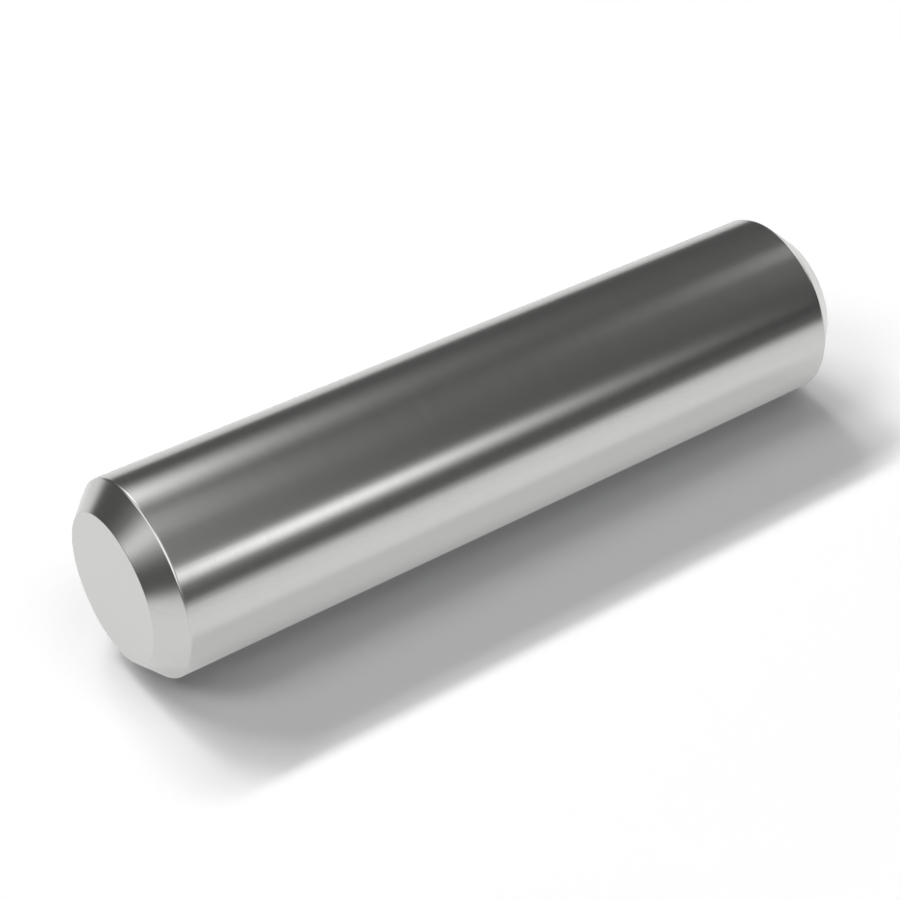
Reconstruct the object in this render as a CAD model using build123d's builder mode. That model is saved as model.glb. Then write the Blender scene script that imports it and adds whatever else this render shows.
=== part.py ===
from build123d import *

import os

# Taper pin, 6 x 26 mm: one steel pin, turned from bar and ground to a 1:50 taper.
# It stands on its small end, with its axis on +Z and the origin at the centre of that end.

# Driving sizes, in millimetres
small_end_diameter = 6.0  # nominal size, where the taper meets the plane of the small end
overall_length = 26.0
taper_run = 50.0  # the diameter grows by 1 mm over this length
small_end_chamfer = 0.8  # each chamfer is at 45 degrees, as deep along the axis as across it
large_end_chamfer = 0.8
shoulder_round = 0.12  # broken edge between a chamfer and the ground taper
face_edge_round = 0.05  # broken edge between a chamfer and an end face

# Heights and radii of the section's corners, worked out from the driving sizes
large_shoulder_height = overall_length - large_end_chamfer
small_shoulder_radius = (small_end_diameter + small_end_chamfer / taper_run) / 2
large_shoulder_radius = (small_end_diameter + large_shoulder_height / taper_run) / 2
small_face_radius = small_shoulder_radius - small_end_chamfer
large_face_radius = large_shoulder_radius - large_end_chamfer

with BuildPart() as taper_pin:
    # Half section: up the axis, across the large end face, down the taper, back to the axis
    with BuildSketch(Plane.XZ) as half_section:
        with BuildLine():
            Polyline(
                (0, 0),
                (0, overall_length),
                (large_face_radius, overall_length),
                (large_shoulder_radius, large_shoulder_height),
                (small_shoulder_radius, small_end_chamfer),
                (small_face_radius, 0),
                close=True,
            )
        make_face()
        # The two shoulders lie between the heights of the end faces
        shoulders = half_section.vertices().group_by(Axis.Y)[1:3]
        fillet(shoulders[0] + shoulders[1], radius=shoulder_round)
        # A face edge is the corner farthest from the axis at the height of an end face
        corners = half_section.vertices().group_by(Axis.Y)
        face_edges = [corners[end].sort_by(Axis.X)[-1] for end in (0, -1)]
        fillet(face_edges, radius=face_edge_round)
    revolve(axis=Axis.Z)

taper_pin.part.label = "taper_pin"
os.makedirs("parts", exist_ok=True)
export_step(taper_pin.part, "parts/taper_pin.step")
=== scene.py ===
import bpy
import numpy as np
from mathutils import Matrix, Vector


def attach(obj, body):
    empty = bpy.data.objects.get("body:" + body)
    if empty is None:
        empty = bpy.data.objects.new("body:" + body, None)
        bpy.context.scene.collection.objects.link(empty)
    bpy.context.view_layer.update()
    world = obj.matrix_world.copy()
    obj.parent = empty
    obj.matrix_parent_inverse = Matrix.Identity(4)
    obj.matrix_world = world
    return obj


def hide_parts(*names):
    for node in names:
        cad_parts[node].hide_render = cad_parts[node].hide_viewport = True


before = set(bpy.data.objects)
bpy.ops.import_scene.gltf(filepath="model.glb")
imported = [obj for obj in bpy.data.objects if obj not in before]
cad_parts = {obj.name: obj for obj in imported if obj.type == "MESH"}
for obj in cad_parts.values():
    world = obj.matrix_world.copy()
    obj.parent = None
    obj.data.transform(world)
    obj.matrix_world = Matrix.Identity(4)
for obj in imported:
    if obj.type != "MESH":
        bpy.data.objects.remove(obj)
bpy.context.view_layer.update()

# The pin is one piece of steel, turned from round bar, with both ends faced and chamfered at 45 degrees.
# Its side is then ground to a taper of 1:50, so that it wedges in a reamed hole and needs no other
# fixing. The sharp edges that grinding leaves are broken by a light tumbling.

mm = 0.001
small_end_diameter = 6.0 * mm
overall_length = 26.0 * mm
taper_run = 50.0
chamfer = 0.8 * mm
shoulder_round = 0.12 * mm
face_edge_round = 0.05 * mm

large_shoulder_height = overall_length - chamfer
small_shoulder_radius = (small_end_diameter + chamfer / taper_run) / 2
large_shoulder_radius = (small_end_diameter + large_shoulder_height / taper_run) / 2


def rounded_section(corners, radii, run_step, arc_steps):
    """Half section of a turned part, from the axis at one end to the axis at the other.

    The line goes straight from corner to corner, and each corner between the first and the last is an arc
    tangent to both its runs. The arc starts radius * tan(turn / 2) before its corner. At angle a into the
    turn, its point lies radius * sin(a) along the run and radius * (1 - cos(a)) to the left of it, and its
    outward normal is the run's own, turned by a. Returns rows of (radius, height), of their normals, and
    of how much of an edge each one is: 1 in the middle of an arc, 0 on a straight run.
    """
    runs = np.diff(corners, axis=0)
    along = runs / np.linalg.norm(runs, axis=1)[:, None]
    outward = np.stack([along[:, 1], -along[:, 0]], 1)
    turn = np.arccos(np.sum(along[:-1] * along[1:], axis=1))
    setback = np.concatenate([[0], radii * np.tan(turn / 2), [0]])
    points, normals, edge = [], [], []
    for i, direction in enumerate(along):
        start = corners[i] + direction * setback[i]
        end = corners[i + 1] - direction * setback[i + 1]
        count = max(1, round(np.linalg.norm(end - start) / run_step))
        share = np.linspace(0, 1, count + 1)[:, None]
        points.append(start + share * (end - start))
        normals.append(np.tile(outward[i], (count + 1, 1)))
        edge.append(np.zeros(count + 1))
        if i < len(turn):
            a = np.linspace(0, turn[i], arc_steps + 1)[1:-1, None]
            points.append(end + radii[i] * (np.sin(a) * direction - (1 - np.cos(a)) * outward[i]))
            normals.append(np.cos(a) * outward[i] + np.sin(a) * direction)
            edge.append(np.sin(a[:, 0] / turn[i] * np.pi))
    return np.concatenate(points), np.concatenate(normals), np.concatenate(edge)


def turned_surface(name, section, normals, around):
    """Surface that a half section sweeps about the Z axis.

    At angle a the section's point (radius, height) stands at (radius * cos(a), radius * sin(a), height),
    and its normal turns with it. The first and last points lie on the axis and are one vertex each, joined
    to the rings beside them by triangles, and the last column of the grid is joined to the first.
    """
    a = np.arange(around) * 2 * np.pi / around
    circle = np.stack([np.cos(a), np.sin(a)], 1)

    def swept(rows):
        rings = rows[1:-1, None, :1] * circle[None]
        heights = np.broadcast_to(rows[1:-1, None, 1:], (*rings.shape[:2], 1))
        body = np.concatenate([rings, heights], 2).reshape(-1, 3)
        return np.concatenate([[(0, 0, rows[0, 1])], body, [(0, 0, rows[-1, 1])]])

    column = np.arange(around)
    following = (column + 1) % around
    ring_start = 1 + np.arange(len(section) - 2)[:, None] * around
    low, high = ring_start[:-1], ring_start[1:]
    quads = np.stack([low + column, low + following, high + following, high + column], 2).reshape(-1, 4)
    last_ring = ring_start[-1, 0]
    top = np.full_like(column, last_ring + around)
    bottom_fan = np.stack([np.zeros_like(column), 1 + following, 1 + column], 1)
    top_fan = np.stack([top, last_ring + column, last_ring + following], 1)
    mesh = bpy.data.meshes.new(name)
    mesh.from_pydata(swept(section).tolist(), [], [*bottom_fan.tolist(), *quads.tolist(), *top_fan.tolist()])
    mesh.shade_smooth()
    mesh.normals_split_custom_set_from_vertices(swept(normals).tolist())
    return mesh


def row_values(mesh, name, values, around):
    """Keeps one number for each row of the section as an attribute of the surface's points."""
    attribute = mesh.attributes.new(name, "FLOAT", "POINT")
    spread = np.concatenate([values[:1], np.repeat(values[1:-1], around), values[-1:]])
    attribute.data.foreach_set("value", spread.astype(np.float32))


section_corners = np.array([
    (0, 0),
    (small_shoulder_radius - chamfer, 0),
    (small_shoulder_radius, chamfer),
    (large_shoulder_radius, large_shoulder_height),
    (large_shoulder_radius - chamfer, overall_length),
    (0, overall_length),
])
corner_radii = np.array([face_edge_round, shoulder_round, shoulder_round, face_edge_round])
ring_spacing = 0.8 * mm
arc_steps = 8
columns = 288
section, section_normals, edge_share = rounded_section(section_corners, corner_radii, ring_spacing, arc_steps)
pin_mesh = turned_surface("ground_pin", section, section_normals, columns)
section_run = np.concatenate([[0], np.cumsum(np.linalg.norm(np.diff(section, axis=0), axis=1))])
row_values(pin_mesh, "section_run", section_run, columns)
row_values(pin_mesh, "broken_edge", edge_share, columns)

# Of all the rows only those on the taper face as squarely away from the axis as this.
square_to_axis = 0.999
row_values(pin_mesh, "on_taper", (section_normals[:, 0] > square_to_axis).astype(float), columns)

ground_pin = bpy.data.objects.new("ground_pin", pin_mesh)
bpy.context.scene.collection.objects.link(ground_pin)


def add_node(tree, kind, inputs=None, **settings):
    """Adds a node with these settings. Each input named is set to its value, or linked to its socket."""
    node = tree.nodes.new(kind)
    for setting, value in settings.items():
        setattr(node, setting, value)
    for key, value in (inputs or {}).items():
        if isinstance(value, bpy.types.NodeSocket):
            tree.links.new(value, node.inputs[key])
        else:
            node.inputs[key].default_value = value
    return node


def mapped(tree, value, to_min, to_max, from_min=0.0, from_max=1.0, curve="LINEAR"):
    """The value carried from one range to another and held at its ends, in a straight line or a curve."""
    inputs = {0: value, 1: from_min, 2: from_max, 3: to_min, 4: to_max}
    return add_node(tree, "ShaderNodeMapRange", inputs, interpolation_type=curve).outputs[0]


def calculated(tree, operation, *values):
    """One step of arithmetic on numbers or sockets."""
    return add_node(tree, "ShaderNodeMath", dict(enumerate(values)), operation=operation).outputs[0]


steel = bpy.data.materials.new("ground_steel")
steel.use_nodes = True
tree = steel.node_tree
tree.nodes.clear()
place = add_node(tree, "ShaderNodeTexCoord").outputs["Object"]
x, y, _ = add_node(tree, "ShaderNodeSeparateXYZ", {0: place}).outputs
run = add_node(tree, "ShaderNodeAttribute", attribute_name="section_run").outputs["Fac"]
edge = add_node(tree, "ShaderNodeAttribute", attribute_name="broken_edge").outputs["Fac"]
on_taper = add_node(tree, "ShaderNodeAttribute", attribute_name="on_taper").outputs["Fac"]
round_the_pin = add_node(tree, "ShaderNodeCombineXYZ", {0: run, 1: x, 2: y}).outputs[0]

# The marks of the wheel and of the lathe tool run round the pin: narrow along the section, long about the
# axis. Polishing lines run along the taper: narrow about the axis, long beside it. Wear changes the tone in
# small patches.
grinding_mark_size = (0.05 * mm, 2.5 * mm, 2.5 * mm)
polishing_line_size = (0.16 * mm, 0.16 * mm, 9 * mm)
wear_patch_size = (0.3 * mm, 0.5 * mm, 0.5 * mm)


def marks(along, size, detail):
    """Noise drawn out to these three sizes along the three axes of what it follows."""
    stretch = {"Vector": along, "Scale": tuple(1 / length for length in size)}
    stretched = add_node(tree, "ShaderNodeMapping", stretch).outputs[0]
    inputs = {"Vector": stretched, "Scale": 1.0, "Detail": detail, "Roughness": 0.6}
    return add_node(tree, "ShaderNodeTexNoise", inputs).outputs["Fac"]


grinding_marks = marks(round_the_pin, grinding_mark_size, detail=2)
polishing_lines = marks(place, polishing_line_size, detail=1)
wear = marks(round_the_pin, wear_patch_size, detail=4)

line_depth = 0.0008 * mm
mark_depth = 0.00015 * mm
lines = calculated(tree, "MULTIPLY", polishing_lines, on_taper)
lined = add_node(tree, "ShaderNodeBump", {"Height": lines, "Distance": line_depth}).outputs["Normal"]
marked = {"Height": grinding_marks, "Distance": mark_depth, "Normal": lined}
bump = add_node(tree, "ShaderNodeBump", marked).outputs["Normal"]

# The marks' noise lies mostly between these two values, and takes the roughness from the finer to the
# coarser. In the middle of a broken edge the steel is rougher by this much more.
noise_low, noise_high = 0.3, 0.7
finer, coarser = 0.19, 0.21
edge_roughness = 0.04
plain_roughness = mapped(tree, grinding_marks, finer, coarser, noise_low, noise_high)
roughness = calculated(tree, "MULTIPLY_ADD", edge, edge_roughness, plain_roughness)

darker_steel = (0.61, 0.61, 0.595, 1)
lighter_steel = (0.63, 0.63, 0.615, 1)
tones = {"Factor": wear, 6: darker_steel, 7: lighter_steel}
tone = add_node(tree, "ShaderNodeMix", tones, data_type="RGBA").outputs[2]
look = {"Base Color": tone, "Metallic": 1.0, "Roughness": roughness, "Normal": bump}
shader = add_node(tree, "ShaderNodeBsdfPrincipled", look)
add_node(tree, "ShaderNodeOutputMaterial", {"Surface": shader.outputs[0]})
pin_mesh.materials.append(steel)

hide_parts("taper_pin")
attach(ground_pin, "root")

# The pin darkens the board by its shadow alone: the steel throws no light back on it.
ground_pin.visible_diffuse = False

# The board is a sheet of matt white card that the pin's side rests against from end to end, so it leans by
# half the taper. The camera is turned so that the board is its floor. The camera sees it as white, with the
# pin's shadow on it, and from behind it isn't there.

board_reach = 400 * mm
lean = 1 / (2 * taper_run)
contact = small_end_diameter / 2
board_corners = ((-1, -1), (1, -1), (1, 1), (-1, 1))
board_points = [
    (side * board_reach, contact + end * board_reach * lean, end * board_reach) for side, end in board_corners
]
board_mesh = bpy.data.meshes.new("board")
board_mesh.from_pydata(board_points, [], [(0, 1, 2, 3)])
board = bpy.data.objects.new("board", board_mesh)
bpy.context.scene.collection.objects.link(board)

card = bpy.data.materials.new("white_card")
card.use_nodes = True
tree = card.node_tree
tree.nodes.clear()
place = add_node(tree, "ShaderNodeTexCoord").outputs["Object"]
x, _, z = add_node(tree, "ShaderNodeSeparateXYZ", {0: place}).outputs
behind = add_node(tree, "ShaderNodeNewGeometry").outputs["Backfacing"]
ray = add_node(tree, "ShaderNodeLightPath").outputs
seen_in_steel = ray["Is Glossy Ray"]

# The light that the lamps throw on it comes with an even light that no shadow takes away. In the steel more
# of the light is even, and less of it in the narrow strip under the pin's side: that dimming is painted
# shade, the pin's contact shadow as the steel sees it mirrored. The strip fades out over this width to each
# side of the contact line, and between these two distances from its middle.
strip_width = 3.8 * mm
strip_middle = 11 * mm
strip_whole, strip_gone = 11 * mm, 15 * mm
even_seen, even_mirrored, even_in_painted_shade = 0.14, 0.67, 0.23
matt_seen, matt_mirrored = 0.98, 0.3
from_contact = calculated(tree, "ABSOLUTE", x)
from_middle = calculated(tree, "ABSOLUTE", calculated(tree, "SUBTRACT", z, strip_middle))
under_side = mapped(tree, from_contact, 1.0, 0.0, 0.0, strip_width, "SMOOTHSTEP")
within_length = mapped(tree, from_middle, 1.0, 0.0, strip_whole, strip_gone, "SMOOTHSTEP")
# Painted shade: the even light that the steel mirrors is dimmed in this strip under the pin's side.
painted_contact_shade = calculated(tree, "MULTIPLY", under_side, within_length)
even_in_steel = mapped(tree, painted_contact_shade, even_mirrored, even_in_painted_shade)
even_level = mapped(tree, seen_in_steel, even_seen, even_in_steel)
even = add_node(tree, "ShaderNodeEmission", {"Strength": even_level}).outputs[0]
matt_level = mapped(tree, seen_in_steel, matt_seen, matt_mirrored)
lit = add_node(tree, "ShaderNodeBsdfDiffuse", {"Color": matt_level}).outputs[0]
front = add_node(tree, "ShaderNodeAddShader", {0: lit, 1: even}).outputs[0]

# In the steel the board ends softly in an oval round the pin, and the surround goes on from there. A light
# ray that passes there on its way to the steel is let through in the same way. For the camera the board
# turns plain white in the same oval a little further out, beyond the shadow.
oval_stretch = 2
oval_middle = overall_length / 2
mirrored_whole, mirrored_gone = 10 * mm, 23 * mm
shadow_whole, shadow_gone = 13 * mm, 26 * mm
oval = {
    "Vector": place,
    "Location": (0, 0, -oval_middle / oval_stretch),
    "Scale": (1, 0, 1 / oval_stretch),
}
from_pin = add_node(tree, "ShaderNodeMapping", oval).outputs[0]
distance = add_node(tree, "ShaderNodeVectorMath", {0: from_pin}, operation="LENGTH").outputs["Value"]
let_through = calculated(tree, "MAXIMUM", seen_in_steel, ray["Is Shadow Ray"])
past_edge = mapped(tree, distance, 0.0, 1.0, mirrored_whole, mirrored_gone)
unseen = calculated(tree, "MAXIMUM", calculated(tree, "MULTIPLY", past_edge, let_through), behind)
beyond_shadow = mapped(tree, distance, 0.0, 1.0, shadow_whole, shadow_gone)
white = add_node(tree, "ShaderNodeEmission", {"Color": (1, 1, 1, 1)}).outputs[0]
shown = add_node(tree, "ShaderNodeMixShader", {0: beyond_shadow, 1: front, 2: white}).outputs[0]
clear = add_node(tree, "ShaderNodeBsdfTransparent").outputs[0]
sheet = add_node(tree, "ShaderNodeMixShader", {0: unseen, 1: shown, 2: clear}).outputs[0]
add_node(tree, "ShaderNodeOutputMaterial", {"Surface": sheet})
board_mesh.materials.append(card)

# The lamps throw the pin's shadow on the board. Each is a soft panel that faces the middle of the pin: three
# in an arc behind it, one beyond its large end, one nearly overhead and one on the camera's side. The steel
# doesn't mirror them.

pin_middle = Vector((0, 0, overall_length / 2))
lamp_distance = 1000 * mm


def stood(place, axes):
    """Matrix that stands an object at this place, with its own three axes turned to these directions."""
    return Matrix.Translation(place) @ Matrix(axes).transposed().to_4x4()


def soft_lamp(name, bearing, height, across, tall, share):
    """A panel that subtends across by tall degrees, at a bearing and a height above the board in degrees.

    The bearing is 0 on the camera's side of the pin, 90 beyond its small end and 180 behind it. The share
    is the part of the board's white that this lamp gives. A panel of power P sends P / pi per steradian
    straight ahead, and a matt surface at distance d shows that over pi * d * d, times the sine of the height.
    """
    level, up = np.radians(bearing), np.radians(height)
    towards = Vector((-np.cos(up) * np.cos(level), -np.sin(up), -np.cos(up) * np.sin(level)))
    level_axis = Vector((np.sin(level), 0, -np.cos(level)))
    panel = bpy.data.lights.new(name, "AREA")
    panel.shape = "ELLIPSE" if across == tall else "RECTANGLE"
    panel.size = 2 * lamp_distance * np.tan(np.radians(across / 2))
    panel.size_y = 2 * lamp_distance * np.tan(np.radians(tall / 2))
    panel.energy = share * np.pi * np.pi * lamp_distance**2 / np.sin(up)
    # Rays that bounce off the board pass through the pin, so they mustn't find the lamps in its shadow.
    panel.cycles.use_multiple_importance_sampling = False
    lamp = bpy.data.objects.new(name, panel)
    bpy.context.scene.collection.objects.link(lamp)
    lamp.matrix_world = stood(
        pin_middle + towards * lamp_distance, (level_axis, towards.cross(level_axis), towards)
    )
    lamp.visible_camera = False
    lamp.visible_glossy = False


soft_lamp("back_left_lamp", 162, 50.6, 20, 3, 0.03)
soft_lamp("back_lamp", 181, 51.6, 24, 3, 0.32)
soft_lamp("back_right_lamp", 205, 51.2, 24, 3, 0.29)
soft_lamp("high_end_lamp", 263, 51.2, 22, 22, 0.148)
soft_lamp("top_lamp", 86, 77, 11, 11, 0.025)
soft_lamp("front_lamp", 19, 65.3, 32, 32, 0.105)

# The surround is what the steel mirrors: a dim room above the board, the pale board's own brightness
# below it, softboxes, and a black flag that takes some of the room's light away. It lights nothing else,
# and to the camera itself the background is plain white.

world = bpy.data.worlds.new("studio")
bpy.context.scene.world = world
world.cycles_visibility.diffuse = False
world.use_nodes = True
tree = world.node_tree
tree.nodes.clear()


def soft_step(tree, value, limit, soft_edge, low=0.0, high=1.0):
    """Goes smoothly from low to high as the value passes the limit, over the width of the soft edge."""
    start = calculated(tree, "MULTIPLY_ADD", soft_edge, -0.5, limit)
    end = calculated(tree, "MULTIPLY_ADD", soft_edge, 0.5, limit)
    return mapped(tree, value, low, high, start, end, "SMOOTHSTEP")


softbox_inputs = ("Turn from", "Turn to", "Rise from", "Rise to", "Turn edge", "Rise edge", "Brightness")
softbox = bpy.data.node_groups.new("softbox", "ShaderNodeTree")
for label in ("Turn", "Rise", *softbox_inputs):
    softbox.interface.new_socket(label, in_out="INPUT", socket_type="NodeSocketFloat")
softbox.interface.new_socket("Light", in_out="OUTPUT", socket_type="NodeSocketFloat")
given = add_node(softbox, "NodeGroupInput").outputs


def between(angle):
    """1 between the group's two limits for this angle and 0 outside them, with a soft edge at each."""
    limits = (given[angle + " from"], given[angle + " to"])
    entered, left = (soft_step(softbox, given[angle], limit, given[angle + " edge"]) for limit in limits)
    return calculated(softbox, "MULTIPLY", entered, calculated(softbox, "SUBTRACT", 1.0, left))


in_both = calculated(softbox, "MULTIPLY", between("Turn"), between("Rise"))
light = calculated(softbox, "MULTIPLY", in_both, given["Brightness"])
add_node(softbox, "NodeGroupOutput", {"Light": light})

direction = add_node(tree, "ShaderNodeTexCoord").outputs["Generated"]
x, y, z = add_node(tree, "ShaderNodeSeparateXYZ", {0: direction}).outputs
turn = calculated(tree, "DEGREES", calculated(tree, "ARCTAN2", y, x))
rise = calculated(tree, "DEGREES", calculated(tree, "ARCSINE", z))

# The room gives way to the board where a direction's part towards the board passes the horizon, over the
# width of the haze.
room_level, board_level = 0.088, 0.86
horizon, haze = 0.073, 0.195
surround = soft_step(tree, y, horizon, haze, room_level, board_level)

# Each softbox is turned from and to, and raised from and to, these degrees about the pin's middle. Then
# come the widths of its soft edges, and its brightness.
softboxes = {
    "front": (-157.3, -145.5, -27.7, -20.4, 13.8, 1.6, 2.35),
    "back": (-60.1, -38.7, -19.7, 0.2, 33.0, 10.1, 3.48),
    "small_end": (-122.3, -19.4, -72.4, -42.8, 41.9, 3.7, 1.39),
    "large_end": (-122.1, -55.2, 46.0, 66.5, 35.8, 3.3, 0.93),
    "overhead": (-158.1, -40.6, 14.7, 44.0, 4.8, 2.3, 1.2),
    "ceiling": (-165.9, -97.5, -18.8, 40.9, 20.1, 19.3, 0.52),
    "ceiling_strip": (-102.3, -75.4, -20.8, -11.1, 22.4, 2.3, 0.86),
    "low_strip": (-90.7, -69.6, -50.5, -36.0, 9.1, 2.6, 0.58),
    "far_edge": (1.0, 3.7, -35.1, -11.7, 4.6, 9.5, 0.83),
    "black_flag": (-166.7, -142.8, -46.8, -27.6, 11.4, 4.2, -0.075),
}
for name, values in softboxes.items():
    inputs = {"Turn": turn, "Rise": rise, **dict(zip(softbox_inputs, values))}
    box = add_node(tree, "ShaderNodeGroup", inputs, node_tree=softbox, label=name)
    surround = calculated(tree, "ADD", surround, box.outputs[0])

seen = add_node(tree, "ShaderNodeLightPath").outputs["Is Camera Ray"]
shown = add_node(tree, "ShaderNodeMix", {0: seen, 2: surround, 3: 1.0}, data_type="FLOAT").outputs[0]
background = add_node(tree, "ShaderNodeBackground", {"Color": shown, "Strength": 1.0}).outputs[0]
add_node(tree, "ShaderNodeOutputWorld", {"Surface": background})

# The camera looks down on the pin from beyond its large end, with the board below it as the floor. Its
# place, its direction and its lens are fitted to the pin's outline.

camera_data = bpy.data.cameras.new("camera")
camera_data.lens = 116.45
camera_data.sensor_width = 36.0
camera_data.clip_start = 1 * mm
camera = bpy.data.objects.new("camera", camera_data)
bpy.context.scene.collection.objects.link(camera)
camera_place = Vector((-59.008, -58.060, 54.516)) * mm
looks_along = Vector((0.63801, 0.63136, -0.44083)).normalized()
above_board = Vector((0, -1, 0))
camera_right = looks_along.cross(above_board).normalized()
camera_up = camera_right.cross(looks_along)
camera.matrix_world = stood(camera_place, (camera_right, camera_up, -looks_along))
bpy.context.scene.camera = camera
bpy.context.scene.view_settings.view_transform = "Standard"
